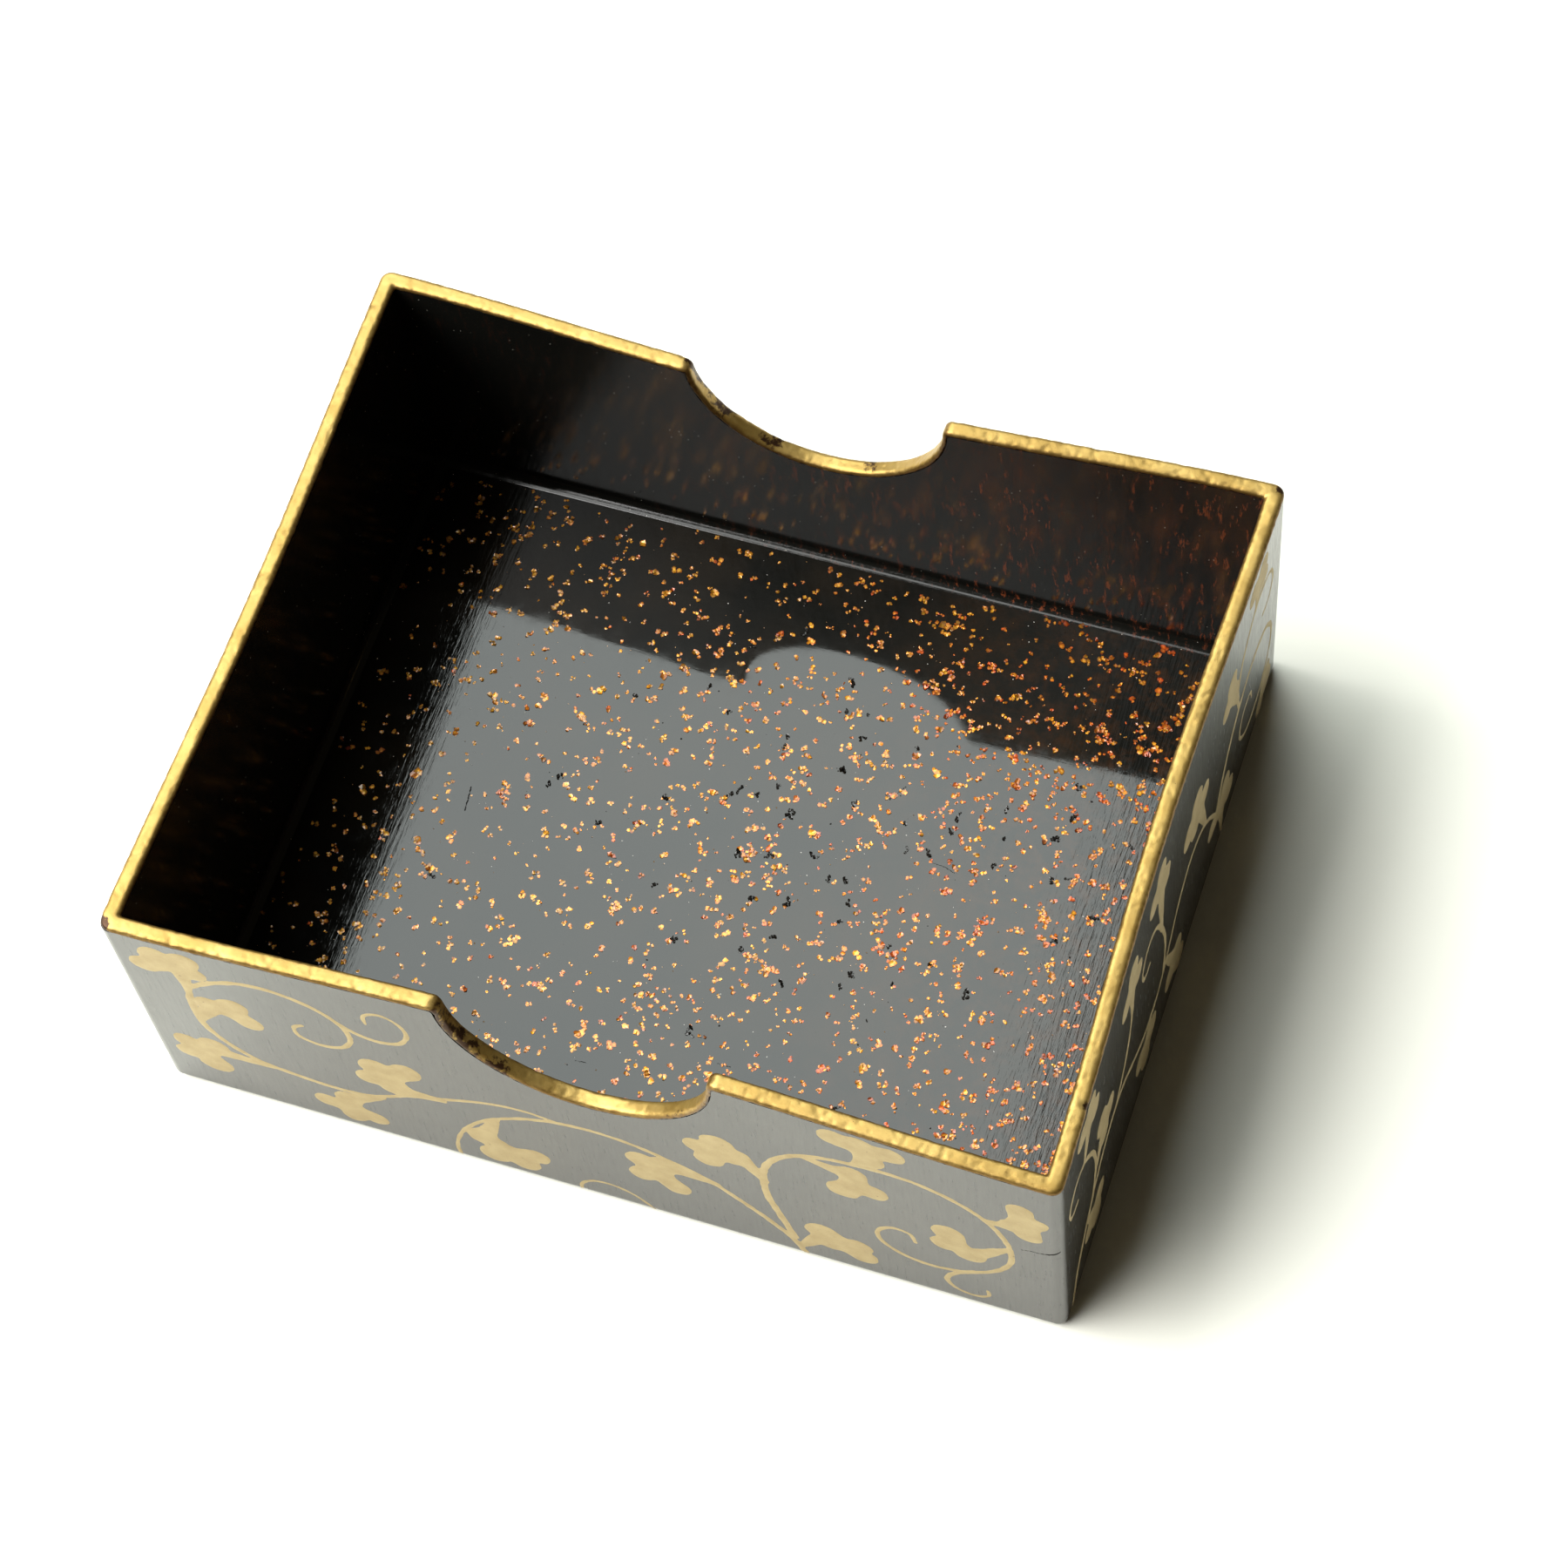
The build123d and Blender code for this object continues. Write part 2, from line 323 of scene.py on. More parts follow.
SHORT_STEMS = [
    ([(-33.4, 0.5), (-31.6, 5.0), (-28.6, 8.9), (-25.0, 12.0), (-21.0, 13.6), (-17.0, 13.2),
      (-13.4, 11.0), (-9.6, 9.0), (-5.4, 8.8), (-1.6, 10.8), (2.0, 13.4), (6.0, 14.6),
      (9.8, 13.4), (12.8, 10.2), (15.0, 6.0), (16.4, 0.5)], 0.8, 0.55),
    ([(-26.6, 10.8), (-25.4, 15.0), (-26.0, 19.6), (-28.6, 23.6), (-31.4, 24.8), (-33.2, 23.2),
      (-32.8, 20.9), (-30.9, 20.3)], 0.75, 0.45),
    ([(-19.0, 13.6), (-15.4, 16.4), (-13.4, 20.0), (-12.8, 24.0)], 0.7, 0.6),
    ([(-3.4, 9.6), (-2.4, 14.0), (-3.2, 18.6), (-5.0, 22.2), (-7.7, 23.4), (-9.5, 21.9),
      (-9.0, 19.9), (-7.2, 19.5)], 0.75, 0.45),
    ([(14.2, 7.8), (17.4, 12.4), (21.4, 15.6), (26.0, 17.0), (30.4, 15.8), (32.8, 12.0),
      (32.0, 8.0), (28.6, 5.6), (24.6, 6.0), (22.2, 8.8), (23.2, 11.6), (25.6, 11.6),
      (26.2, 9.8)], 0.8, 0.45),
    ([(21.6, 15.8), (21.2, 19.6), (23.0, 23.8), (26.8, 26.4), (30.6, 25.8), (32.2, 23.0),
      (31.0, 20.7), (28.9, 20.9)], 0.7, 0.45),
]
SHORT_LEAVES = [
    ([(-29.0, 30.3, 1.5), (-26.2, 30.4, 1.6), (-25.0, 27.6, 1.4)], [(-26.8, 28.6), (-28.6, 23.9)]),
    ([(-23.2, 20.0, 1.6), (-20.8, 18.0, 1.5), (-22.6, 16.2, 1.5)], [(-23.0, 17.6), (-25.6, 14.0)]),
    ([(-27.8, 5.8, 1.5), (-25.6, 4.2, 1.5), (-24.6, 7.0, 1.5)], [(-26.2, 6.4), (-28.4, 9.0)]),
    ([(-14.6, 25.8, 1.5), (-12.2, 28.0, 1.6), (-10.8, 25.2, 1.4)], [(-12.6, 25.8), (-13.0, 21.4)]),
    ([(-11.2, 6.4, 1.5), (-9.6, 4.2, 1.5), (-7.4, 6.2, 1.5)], [(-9.2, 6.2), (-7.4, 8.9)]),
    ([(-5.2, 27.6, 1.5), (-2.8, 29.0, 1.5), (-1.6, 26.0, 1.5)], [(-3.1, 26.0), (-3.3, 18.6)]),
    ([(-1.6, 4.6, 1.5), (1.0, 5.6, 1.6), (1.6, 2.8, 1.5)], [(0.4, 5.0), (-2.4, 10.2)]),
    ([(5.6, 20.2, 1.7), (8.2, 21.8, 1.7), (10.4, 19.4, 1.5), (7.4, 18.2, 1.4)],
     [(9.0, 19.0), (10.8, 12.8)]),
    ([(12.8, 7.4, 1.3), (17.2, 8.0, 1.7), (18.6, 5.2, 1.5)], [(16.4, 6.6), (16.0, 2.0)]),
    ([(17.8, 22.4, 1.5), (19.2, 24.6, 1.5), (20.0, 21.6, 1.3)], [(19.4, 22.2), (21.3, 17.8)]),
    ([(25.6, 30.2, 1.4), (28.4, 30.5, 1.5), (28.8, 28.2, 1.3)], [(27.4, 28.8), (26.4, 26.2)]),
    ([(29.6, 1.9, 1.3), (32.2, 3.0, 1.4), (31.8, 5.2, 1.2)], [(31.0, 4.0), (30.4, 6.6)]),
]
# The crack at the front right corner, as strokes on the front wall.
CRACK = [
    ([(40.0, 17.5), (41.0, 17.9), (42.2, 18.1), (43.6, 19.0)], 0.18, 0.32),
    ([(42.6, 18.2), (43.1, 17.7), (43.6, 17.6)], 0.26, 0.18),
]
# All of these are in millimetres.
CELL = 0.16  # size of the grid that a drawing is worked out on
FAR = 9.0  # stands for any distance too large to matter
STALK = (2.3, 0.8)  # a leaf's stalk is this wide at the leaf and at the stem
NECK = 2.6  # width of a lobe where it leaves the middle of its leaf
LOBE_JOIN, STEM_JOIN, LEAF_JOIN = 0.5, 0.2, 0.3  # how softly one part runs into the next
WAVERS = ((0.9, 0.09), (3.1, 0.035))  # how close together and how wide a line's waverings are
VINE_GAP = 0.02  # how far short of the rim the vine stops
RELIEF = 0.06  # how far the vine stands proud of the wall, inside the rim's lip
SHOULDER = 0.28  # how far in from its outline the vine reaches its full height
SUNK = 0.004  # how far its outline lies under the wall's surface


def smooth_line(points, steps=8):
    """Points on the Catmull-Rom curve through the given ones."""
    ends = np.array([points[0], *points, points[-1]], float)
    t = np.linspace(0, 1, steps, endpoint=False)[:, None]
    spans = [
        b + (t * (c - a) + t**2 * (2 * a - 5 * b + 4 * c - d) + t**3 * (3 * b - a - 3 * c + d)) / 2
        for a, b, c, d in zip(ends, ends[1:], ends[2:], ends[3:])
    ]
    return np.vstack([*spans, ends[-1:]])


def soft_join(first, second, reach):
    """The smaller of two distances, rounded where they are within reach of each other."""
    share = np.clip(0.5 + 0.5 * (second - first) / reach, 0, 1)
    return second + (first - second) * share - reach * share * (1 - share)


class Drawing:
    """A drawing on a wall, as the distance in millimetres from its outline, negative inside."""

    def __init__(self, length, height):
        self.low = np.array([-length / 2, 0.0])
        columns, rows = int(length / CELL) + 1, int(height / CELL) + 1
        u, z = np.meshgrid(np.arange(columns), np.arange(rows), indexing="ij")
        self.at = self.low + CELL * np.stack([u, z], axis=-1)
        self.distance = np.full((columns, rows), FAR)

    def stroke(self, line, start_width, end_width):
        """The distance from a brush stroke with round ends that widens or narrows steadily."""
        result = np.full_like(self.distance, FAR)
        radii = np.linspace(start_width / 2, end_width / 2, len(line))
        for start, end, radius, next_radius in zip(line, line[1:], radii, radii[1:]):
            reach = max(radius, next_radius) + 1
            low = ((np.minimum(start, end) - reach - self.low) / CELL).astype(int).clip(0)
            high = ((np.maximum(start, end) + reach - self.low) / CELL).astype(int).clip(0)
            window = (slice(low[0], high[0]), slice(low[1], high[1]))
            along, offset = end - start, self.at[window] - start
            t = np.clip(offset @ along / max(along @ along, 1e-9), 0, 1)
            away = np.linalg.norm(offset - t[..., None] * along, axis=-1)
            away -= radius + (next_radius - radius) * t
            result[window] = np.minimum(result[window], away)
        return result

    def leaf(self, lobes, stalk):
        """The distance from a leaf: its lobes run out from its middle, and a stalk ends there."""
        places = np.array([lobe[:2] for lobe in lobes])
        middle = places.mean(axis=0)
        result = self.stroke(np.array(stalk), *STALK)
        for place, (_, _, radius) in zip(places, lobes):
            lobe = self.stroke(np.array([middle, place]), NECK, 2 * radius)
            result = soft_join(result, lobe, LOBE_JOIN)
        return result

    def draw(self, stems, leaves):
        """Adds stems and leaves to the drawing, joined softly where they meet."""
        for points, start_width, end_width in stems:
            stem = self.stroke(smooth_line(points), start_width, end_width)
            self.distance = soft_join(self.distance, stem, STEM_JOIN)
        for lobes, stalk in leaves:
            self.distance = soft_join(self.distance, self.leaf(lobes, stalk), LEAF_JOIN)
        return self

    def unsettle(self, seed):
        """Makes the outline as uneven as a brush leaves it."""
        for index in np.argwhere(np.abs(self.distance) < 1):
            spot = Vector((*self.at[tuple(index)], seed))
            self.distance[tuple(index)] += sum(noise.noise(spot * near) * wide for near, wide in WAVERS)
        return self

    def trim(self, top, notch):
        """Stops the drawing at a height, and at this distance from the notch's centre if it isn't 0."""
        height = rim_high.z / MM
        self.distance = np.maximum(self.distance, self.at[..., 1] - top)
        if notch:
            from_centre = np.hypot(self.at[..., 0], self.at[..., 1] - height)
            self.distance = np.maximum(self.distance, notch - from_centre)
        return self

    def cells(self):
        """The inside of the drawing as points (u, z), their distances, and faces of 3 to 5 corners."""
        points, depths, faces, known = [], [], [], {}

        def point(key, place, depth):
            if key not in known:
                known[key] = len(points)
                points.append(place)
                depths.append(depth)
            return known[key]

        inside = self.distance < 0
        busy = inside[:-1, :-1] | inside[1:, :-1] | inside[1:, 1:] | inside[:-1, 1:]
        for i, j in np.argwhere(busy):
            corners = [(i, j), (i + 1, j), (i + 1, j + 1), (i, j + 1)]
            face = []
            for one, two in zip(corners, corners[1:] + corners[:1]):
                first, second = self.distance[one], self.distance[two]
                if first < 0:
                    face.append(point(one, self.at[one], first))
                if (first < 0) != (second < 0):
                    share = first / (first - second)
                    place = self.at[one] + share * (self.at[two] - self.at[one])
                    face.append(point(frozenset((one, two)), place, 0.0))
            faces.append(face)
        return np.array(points), np.array(depths), faces


def lay_on_wall(name, side, drawing, material):
    """Lays a drawing on the outside of a wall as a thin raised sheet."""
    along = {"front": (1, 0), "right": (0, 1), "back": (-1, 0), "left": (0, -1)}[side]
    outward = {"front": (0, -1), "right": (1, 0), "back": (0, 1), "left": (-1, 0)}[side]
    along, outward = Vector((*along, 0)), Vector((*outward, 0))
    points, depths, faces = drawing.cells()
    rise = np.clip(-depths / SHOULDER, 0, 1)
    rise = rise * rise * (3 - 2 * rise)
    wall = BVHTree.FromObject(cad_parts["outer_lacquer"], bpy.context.evaluated_depsgraph_get())
    clear_of_box, near_wall = outward * 0.1, outward * 0.04
    places = []
    for (u, z), lift in zip(points, rise):
        spot = along * (u * MM) + Vector((0, 0, z * MM))
        hit = wall.ray_cast(spot + clear_of_box, -outward)[0] or wall.find_nearest(spot + near_wall)[0]
        brushed = 0.85 + 0.15 * noise.noise(Vector((u, z, 0)) * 0.8)
        places.append(hit + outward * (lift * brushed * RELIEF - SUNK) * MM)
    mesh = bpy.data.meshes.new(name)
    mesh.from_pydata(places, [], faces)
    mesh.shade_smooth()
    finish_piece(bpy.data.objects.new(name, mesh), material)


def vines():
    """The same drawing on both long walls, and another on both short ones."""
    gold = vine_gold()
    rim_edge, notch = wall_high.z / MM - VINE_GAP, (rim_high.z - rim_low.z) / MM + VINE_GAP
    for pair, stems, leaves, span, cut in (
        (("front", "back"), LONG_STEMS, LONG_LEAVES, wall_high.x - wall_low.x, notch),
        (("right", "left"), SHORT_STEMS, SHORT_LEAVES, wall_high.y - wall_low.y, 0),
    ):
        for seed, side in enumerate(pair):
            drawing = Drawing(span / MM, rim_edge).draw(stems, leaves)
            drawing.unsettle(seed).trim(rim_edge, cut)
            lay_on_wall(f"vine_{side}", side, drawing, gold)


def corner_crack():
    """The lifted crack that runs into the front right corner."""
    drawing = Drawing((wall_high.x - wall_low.x) / MM, wall_high.z / MM)
    drawing.draw(CRACK, []).unsettle(seed=2)
    lay_on_wall("corner_crack", "front", drawing, pitted)


vines()
corner_crack()

# ---- the gold rim ----
# The places where the rim's gold is rubbed away, which in the left halves of the notches also paint
# their shade: x and y as shares of the way from the middle of the box to the rim's outside, the reach in
# millimetres, and the wear there from 0 to 1.
WORN_AND_SHADED_PLACES = [
    (-0.995, -0.99, 1.3, 1.0), (-0.28, 0.96, 1.3, 0.9), (-0.285, -0.985, 1.0, 0.7),
    (-0.25, -0.985, 2.6, 0.62), (-0.18, -0.985, 2.2, 0.52), (-0.23, 0.96, 1.8, 0.62),
    (-0.12, 0.95, 1.8, 0.52), (0.10, 0.95, 1.2, 0.45), (0.20, -0.985, 1.2, 0.42),
    (0.30, 0.97, 0.8, 0.55), (0.99, 0.985, 0.9, 0.6), (0.285, -0.985, 0.8, 0.5),
    (0.995, -0.76, 0.8, 0.6), (-0.99, 0.2, 0.7, 0.5), (0.6, 0.975, 0.6, 0.45),
]
RIM_GRID = 0.14 * MM  # size of the cells that the worn rim is rebuilt from
# How far the rim is pressed in, in millimetres: everywhere a little, in dents, and where it is worn.
SWELL_DEPTH, DENT_DEPTH, WORN_DEPTH = 0.05, 0.06, 0.10
RAGGED_REACH = 0.15  # how far its lower border wanders up and down, in millimetres
# Lumps of each unevenness in a millimetre.
SWELLS, DENTS, TONGUES, NICKS = 0.45, 1.7, 0.9, 2.6
rim_depth = rim_high.z - wall_high.z
notch_radius = rim_high.z - rim_low.z - rim_depth


def below_edge(place):
    """How far a point on the rim lies below the open edge, and the way down into the wall."""
    straight = rim_high.z - place.z
    from_centre = Vector((place.x, 0, -straight))
    into_notch = from_centre.length - notch_radius
    if into_notch < straight:
        return into_notch, from_centre.normalized()
    return straight, Vector((0, 0, -1))


def wear_and_shade_at(place):
    """How much of the gold is rubbed off here, from 0 to 1; in the left halves of the notches this also
    paints their shade.
    """
    most = 0.0
    for x, y, reach, depth in WORN_AND_SHADED_PLACES:
        away = math.hypot(place.x - x * rim_high.x, place.y - y * rim_high.y) / (reach * MM)
        most = max(most, depth * max(0.0, 1 - away * away))
    return most


def store(mesh, name, values):
    """Keeps a number for every vertex, for a material to read."""
    mesh.attributes.new(name, "FLOAT", "POINT").data.foreach_set("value", values)


def rim_material():
    """Powdered gold, pale on top, darkened down its sides by painted shade, and brown where it ends,
    where it is worn and, as painted shade, in the left halves of the notches.
    """
    s = Shader("gold_powder_rim", Metallic=0.7, IOR=1.5)
    cloud = s.scale(s.noise(0.35, 4, 0.6), 0.35, 0.68)
    colour = s.mix(cloud, (0.300, 0.188, 0.044), (0.400, 0.270, 0.080))
    ragged = s.scale(s.noise(1.6, 4, 0.65), 0.25, 0.75, -0.13, 0.13)
    depth = s.math("ADD", s.attribute("below_edge").outputs["Fac"], ragged)
    # Painted shade: the gold darkens down the rim's sides, below its lit crown.
    colour = s.mix(s.scale(depth, 0.04, 0.26), colour, (0.16, 0.088, 0.020))
    colour = s.mix(s.scale(depth, 0.38, 0.50), colour, (0.028, 0.011, 0.005))
    # Where the gold is rubbed off it turns dark brown; in the left halves of the notches this dark brown
    # is also painted shade.
    rubbed = s.math("ADD", s.attribute("worn").outputs["Fac"], s.scale(ragged, -0.13, 0.13, -0.45, 0.3))
    speck = s.scale(s.noise(2.2, 5, 0.75), 0.67, 0.73)
    lost_and_shaded = s.math("MAXIMUM", s.scale(rubbed, 0.25, 0.45), speck)
    s.out("Base Color", s.mix(lost_and_shaded, colour, (0.045, 0.020, 0.008)))
    grain = s.noise(8.0, 3, 0.7)
    s.out("Roughness", s.scale(grain, 0.3, 0.7, 0.30, 0.46))
    s.out("Normal", s.bump(grain, 0.010 * MM))
    return s.material


def worn_rim():
    """The rim again, rebuilt finely enough to be uneven: dented on top and ragged below."""
    piece = bpy.data.objects.new("rim_of_gold_powder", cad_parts["gold_rim"].data.copy())
    bpy.context.scene.collection.objects.link(piece)
    remesh = piece.modifiers.new("rebuild", "REMESH")
    remesh.mode, remesh.voxel_size = "VOXEL", RIM_GRID
    evaluated = piece.evaluated_get(bpy.context.evaluated_depsgraph_get())
    mesh = bpy.data.meshes.new_from_object(evaluated)
    bpy.data.objects.remove(piece)

    # Every normal is read before the first vertex moves.
    normals = [vertex.normal.copy() for vertex in mesh.vertices]
    depths, wear = [], []
    for vertex, outward in zip(mesh.vertices, normals):
        place = vertex.co.copy()
        depth, down = below_edge(place)
        in_mm = place / MM
        swell = noise.noise(in_mm * SWELLS) * 0.5 + 0.5
        dent = max(0.0, noise.noise(in_mm * DENTS + Vector((7, 0, 0))))
        worn = wear_and_shade_at(place)
        inward = SWELL_DEPTH * swell + DENT_DEPTH * dent + WORN_DEPTH * worn
        ragged = noise.noise(in_mm * TONGUES + Vector((0, 5, 0))) + 0.5 * noise.noise(in_mm * NICKS)
        # 1 at the rim's lower border, falling to 0 a third of the way up.
        at_border = min(1.0, max(0.0, depth / rim_depth * 3 - 2))
        vertex.co = place - outward * inward * MM + down * ragged * RAGGED_REACH * MM * at_border
        depths.append(depth / MM)
        wear.append(worn)
    store(mesh, "below_edge", depths)
    # The wear kept here also carries painted shade in the left halves of the notches.
    store(mesh, "worn", wear)
    mesh.materials.clear()
    mesh.shade_smooth()
    rim = bpy.data.objects.new("rim_of_gold_powder", mesh)
    finish_piece(rim, rim_material())
    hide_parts("gold_rim")


worn_rim()

# ---- what lies in and on the floor ----
FLAKES = 2900
GOLD_SPECKS = 420
PINHOLES = 420  # of which many are left out, most of them on the left
CHIPS = 74  # of which those that fall too near a wall are left out
DUST_SPECKS = 170
DRIFTS = 150  # loose drifts of flakes in a metre
BEAD = 1.0 * MM  # the beads round the floor, which the flakes keep clear of
BLACK = (0, 0, 0)
# Hairline scratches: their points from the middle of the floor, and their width, in millimetres.
SCRATCHES = [
    ([(-26.5, -0.2), (-26.3, -1.6), (-26.2, -2.9)], 0.09),
    ([(18.9, 4.5), (20.1, 4.4), (21.3, 4.0)], 0.06),
    ([(-7.1, -24.4), (-5.9, -24.3)], 0.06),
    ([(5.8, -20.9), (7.2, -20.9)], 0.06),
    ([(12.3, 10.2), (12.9, 9.8), (14.0, 11.6)], 0.07),
]
SCRATCH_STEP = 0.08  # from one speck of a scratch to the next, in millimetres
random = np.random.default_rng(SEED)
floor_top = floor_high.z


class Scatter:
    """Many small facetted lumps that lie on the floor, gathered into one mesh."""

    def __init__(self, name):
        self.name = name
        self.points, self.faces, self.colours = [], [], []

    def lump(self, x, y, radius, height, tilt, middle=BLACK, edge=BLACK):
        """A fan of facets round a raised middle, with a colour there and one round its edge."""
        corners = int(random.integers(5, 8))
        turn = random.uniform(0, 2 * math.pi)
        lean = random.normal(0, tilt, 2)
        start = len(self.points)
        off = random.uniform(-0.35, 0.35, 2) * radius
        top = floor_top + height * random.uniform(0.6, 1.3)
        self.points.append((x + off[0], y + off[1], top))
        self.colours.append((*middle, 1))
        for k in range(corners):
            angle = turn + 2 * math.pi * (k + random.uniform(-0.3, 0.3)) / corners
            reach = radius * random.uniform(0.72, 1.25)
            dx, dy = math.cos(angle) * reach, math.sin(angle) * reach
            rise = height * 0.25 + abs(dx * lean[0] + dy * lean[1])
            self.points.append((x + dx, y + dy, floor_top + rise))
            shade = random.uniform(0.75, 1.15)
            self.colours.append((*(channel * shade for channel in edge), 1))
            self.faces.append((start, start + 1 + k, start + 1 + (k + 1) % corners))

    def finish(self, material):
        """Makes the lumps one piece, whose vertices keep their colours as the attribute tint."""
        mesh = bpy.data.meshes.new(self.name)
        mesh.from_pydata(self.points, [], self.faces)
        tint = mesh.color_attributes.new("tint", "FLOAT_COLOR", "POINT")
        tint.data.foreach_set("color", np.array(self.colours).ravel())
        finish_piece(bpy.data.objects.new(self.name, mesh), material)


def flake_gold():
    """Gold leaf crumbs under a skin of amber lacquer."""
    s = Shader("gold_flakes", Metallic=0.45, IOR=1.3, Coat_Weight=1.0, Coat_Roughness=0.06)
    tint = s.attribute("tint").outputs["Color"]
    mottle = s.scale(s.noise(9.0, 3, 0.7), 0.3, 0.75)
    s.out("Base Color", s.mix(s.math("MULTIPLY", mottle, 0.35), tint, (0.12, 0.020, 0.004)))
    s.out("Roughness", s.scale(mottle, 0.0, 1.0, 0.30, 0.45))
    return s.material


def blend(share, first, second):
    """The colour or point that lies this share of the way from the first to the second."""
    return tuple(a + (b - a) * share for a, b in zip(first, second))


def floor_spot(margin):
    """A random place on the floor, this far or more from the walls."""
    low, high = floor_low + Vector((margin,) * 3), floor_high - Vector((margin,) * 3)
    return random.uniform(low.x, high.x), random.uniform(low.y, high.y)


def keeps_flake(x, y):
    """Whether a flake falls here: they lie in loose drifts, and thin out to the left."""
    drift = 0.70 + 0.50 * noise.noise(Vector((x, y, 0)) * DRIFTS) + 0.15 * x / floor_high.x
    from_left = (x - floor_low.x) / MM
    return random.uniform() < drift * min(1.0, 0.3 + from_left / 10)


def flake(scatter, x, y, size, redness):
    """One flake: a few crumbs of gold packed round its middle, each of its own tone and made brighter or
    darker at random, partly as painted glint and shade.
    """
    for _ in range(int(random.integers(2, 6))):
        radius = size * random.uniform(0.35, 0.62)
        angle, away = random.uniform(0, 2 * math.pi), size * random.uniform(0.2, 0.75)
        tone = min(1.0, max(0.0, redness + random.normal(0, 0.3)))
        # Painted glint and shade: a random brightness for each crumb stands in partly for the way its
        # tilt catches the light.
        light = random.uniform(0.35, 1.35)
        middle = [light * c for c in blend(tone, (0.95, 0.56, 0.040), (0.74, 0.15, 0.014))]
        edge = [light * c for c in blend(tone, (0.50, 0.155, 0.007), (0.30, 0.028, 0.004))]
        place = (x + away * math.cos(angle), y + away * math.sin(angle))
        scatter.lump(*place, radius, 0.03 * MM, 0.15, middle, edge)


def gold_flakes():
    """Flakes all over the floor, yellow to the left and redder to the right, and gold dust."""
    scatter = Scatter("gold_flakes")
    placed = 0
    while placed < FLAKES:
        x, y = floor_spot(BEAD + 0.2 * MM)
        if not keeps_flake(x, y):
            continue
        to_right = x / floor_high.x
        redness = random.normal(0.38 + 0.28 * to_right, 0.22)
        for _ in range(1 + int(random.exponential(0.45 + 0.3 * max(0.0, to_right)))):
            flake(scatter, x, y, random.gamma(14.0, 0.0235) * MM, redness)
            x += random.normal(0, 0.5) * MM
            y += random.normal(0, 0.5) * MM
            placed += 1
    for _ in range(GOLD_SPECKS):
        pale = random.uniform(0.3, 1.0)
        middle, edge = blend(pale, BLACK, (0.45, 0.30, 0.12)), blend(pale, BLACK, (0.25, 0.12, 0.04))
        scatter.lump(*floor_spot(BEAD), random.uniform(0.03, 0.08) * MM, 0.015 * MM, 0.3, middle, edge)
    scatter.finish(flake_gold())


def broken_black():
    """Chipped lacquer: sharp black faces that glint."""
    s = Shader("chipped_lacquer", IOR=1.5)
    s.out("Base Color", s.mix(s.noise(8.0), (0.004, 0.004, 0.004), (0.018, 0.014, 0.010)))
    s.out("Roughness", s.scale(s.noise(12.0), 0.3, 0.7, 0.12, 0.35))
    return s.material


def pits():
    """Pinholes in the lacquer as flat black specks, most of them towards the right wall."""
    scatter = Scatter("floor_pinholes")
    for _ in range(PINHOLES):
        x, y = floor_spot(BEAD)
        if random.uniform() > 0.45 + 0.5 * x / floor_high.x:
            continue
        radius = random.gamma(3.0, 0.018) * MM
        scatter.lump(x, y, min(radius, 0.14 * MM), 0.002 * MM, 0.0)
    scatter.finish(pitted)


def chips():
    """Small scabs of broken lacquer, mostly right of the middle."""
    scatter = Scatter("floor_chips")
    for _ in range(CHIPS):
        x = random.normal(0.22, 0.35) * floor_high.x
        y = random.normal(0.15, 0.35) * floor_high.y
        if max(abs(x) / floor_high.x, abs(y) / floor_high.y) > 0.95:
            continue
        heading = random.uniform(0, 2 * math.pi)
        for _ in range(int(random.integers(2, 7))):
            radius = random.uniform(0.08, 0.20) * MM
            scatter.lump(x, y, radius, 0.06 * MM, 0.8)
            heading += random.normal(0, 1.3)
            x += math.cos(heading) * radius * 1.6
            y += math.sin(heading) * radius * 1.6
    scatter.finish(broken_black())


def scratches():
    """Hairline scratches in the floor, each a broken row of flat black specks."""
    scatter = Scatter("floor_scratches")
    for points, width in SCRATCHES:
        for start, end in zip(points, points[1:]):
            length = math.dist(start, end)
            for k in range(int(length / SCRATCH_STEP)):
                share = k * SCRATCH_STEP / length
                x, y = (coordinate + random.normal(0, 0.02) for coordinate in blend(share, start, end))
                radius = width * random.uniform(0.4, 1.1)
                scatter.lump(x * MM, y * MM, radius * MM, 0.003 * MM, 0.0)
    scatter.finish(pitted)


def house_dust():
    """Pale specks that have settled on the floor."""
    s = Shader("house_dust", Roughness=0.9)
    s.out("Base Color", s.mix(s.noise(0.3), (0.30, 0.29, 0.27), (0.60, 0.58, 0.54)))
    scatter = Scatter("floor_dust")
    for _ in range(DUST_SPECKS):
        x, y = floor_spot(0.2 * MM)
        scatter.lump(x, y, random.uniform(0.03, 0.07) * MM, 0.03 * MM, 0.3)
    scatter.finish(s.material)


gold_flakes()
pits()
chips()
scratches()
house_dust()


# ---- the studio ----
PANEL_HEIGHT = 1.0  # of the light panels over the table


def table_top():
    """A plain white table under the box."""
    s = Shader("white_table", Roughness=0.7)
    s.out("Base Color", s.mix(s.noise(0.02, 3), (0.93, 0.925, 0.84), (0.95, 0.945, 0.86)))
    reach = 3.0
    mesh = bpy.data.meshes.new("table_top")
    corners = [(-reach, -reach, 0), (reach, -reach, 0), (reach, reach, 0), (-reach, reach, 0)]
    mesh.from_pydata(corners, [], [(0, 1, 2, 3)])
    mesh.materials.append(s.material)
    table = bpy.data.objects.new("table_top", mesh)
    bpy.context.scene.collection.objects.link(table)


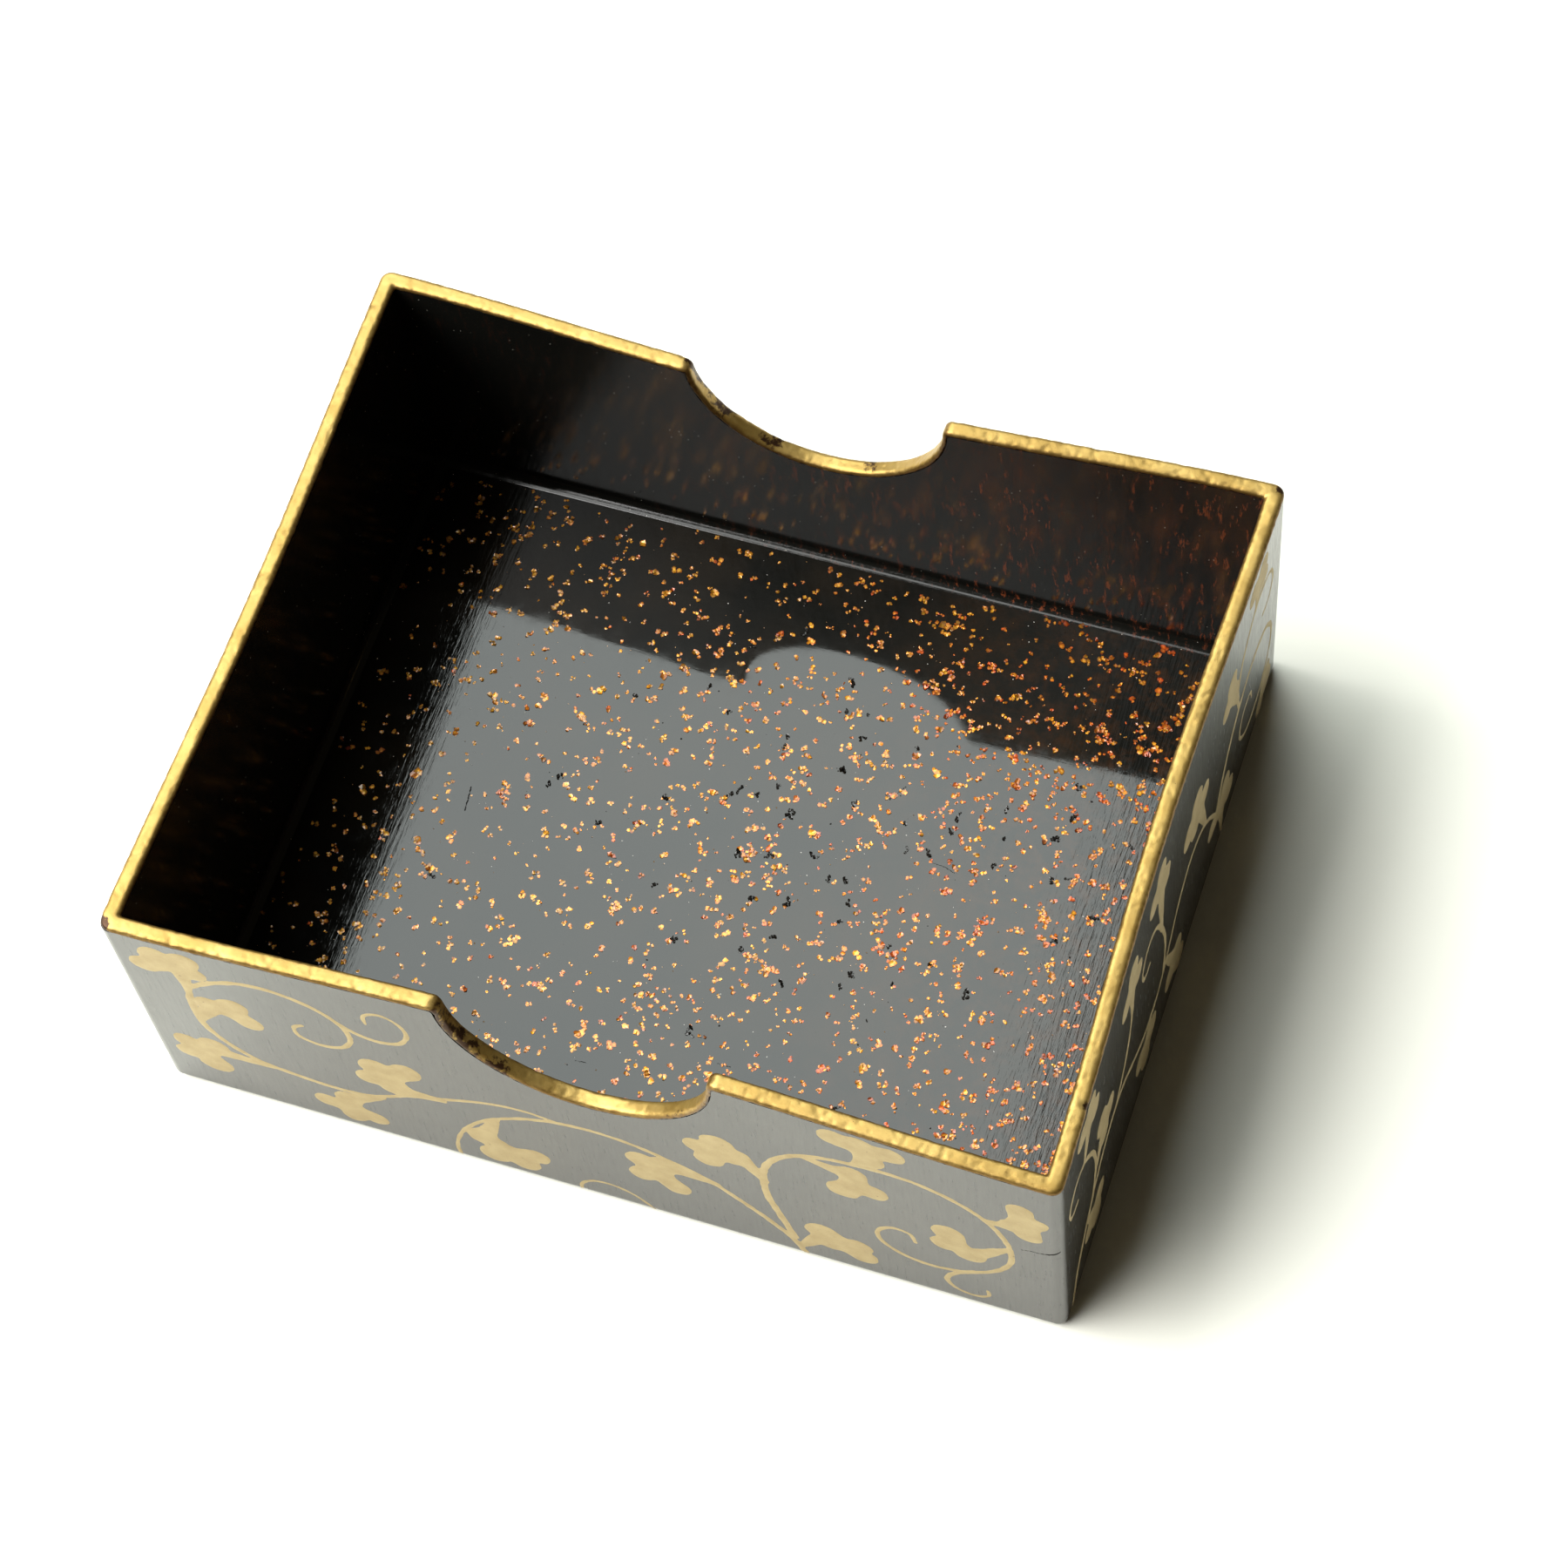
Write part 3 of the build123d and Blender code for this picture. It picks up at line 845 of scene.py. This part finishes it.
def softbox(name, low, high, radiance, colour):
    """A level panel of light over the table, from its low to its high corner in plan."""
    width, depth = high[0] - low[0], high[1] - low[1]
    lamp = bpy.data.lights.new(name, "AREA")
    lamp.shape = "RECTANGLE"
    lamp.size, lamp.size_y = width, depth
    lamp.energy = radiance * math.pi * width * depth
    lamp.color = colour
    panel = bpy.data.objects.new(name, lamp)
    panel.location = ((low[0] + high[0]) / 2, (low[1] + high[1]) / 2, PANEL_HEIGHT)
    bpy.context.scene.collection.objects.link(panel)


def surroundings():
    """A dim, warm room, a little paler along the horizon."""
    world = bpy.data.worlds.new("room")
    world.use_nodes = True
    nodes, links = world.node_tree.nodes, world.node_tree.links
    split = nodes.new("ShaderNodeSeparateXYZ")
    links.new(nodes.new("ShaderNodeTexCoord").outputs["Generated"], split.inputs["Vector"])
    ramp = nodes.new("ShaderNodeValToRGB")
    horizon, overhead = ramp.color_ramp.elements
    horizon.position, horizon.color = 0.05, (0.12, 0.10, 0.07, 1)
    overhead.position, overhead.color = 0.35, (0.034, 0.028, 0.018, 1)
    links.new(split.outputs["Z"], ramp.inputs["Fac"])
    links.new(ramp.outputs["Color"], nodes["Background"].inputs["Color"])
    bpy.context.scene.world = world


def camera(aim, distance, azimuth, elevation, roll, lens):
    """A camera that looks at a point, from an azimuth of 0 for the front view."""
    az, el = math.radians(azimuth), math.radians(elevation)
    forward = Vector((math.sin(az) * math.cos(el), math.cos(az) * math.cos(el), -math.sin(el)))
    data = bpy.data.cameras.new("camera")
    data.lens, data.sensor_width = lens, 36
    data.clip_start = 0.01
    eye = bpy.data.objects.new("camera", data)
    eye.location = Vector(aim) - forward * distance
    eye.rotation_mode = "QUATERNION"
    turn = Quaternion((0, 0, 1), math.radians(roll))
    eye.rotation_quaternion = forward.to_track_quat("-Z", "Y") @ turn
    bpy.context.scene.collection.objects.link(eye)
    bpy.context.scene.camera = eye


table_top()
# The floor mirrors the back panel and the back wall mirrors the front one. The other two light
# the table from the left, so that the box throws its shadow to the right.
softbox("softbox_back", (-1.3, 0.2), (-0.07, 1.25), 5.0, (0.93, 1.0, 0.975))
softbox("softbox_left", (-2.3, -1.35), (-0.42, 0.2), 10.0, (1.0, 1.0, 0.98))
softbox("softbox_middle", (-0.42, -0.22), (-0.26, 0.2), 12.0, (1.0, 1.0, 0.98))
softbox("softbox_front", (-0.40, -0.58), (-0.085, -0.28), 4.6, (0.98, 1.0, 0.97))
surroundings()
camera(
    aim=(2.04 * MM, 9.63 * MM, 0), distance=397.2 * MM,
    azimuth=-26.73, elevation=62.78, roll=-9.42, lens=94.18,
)
bpy.context.scene.view_settings.view_transform = "Standard"
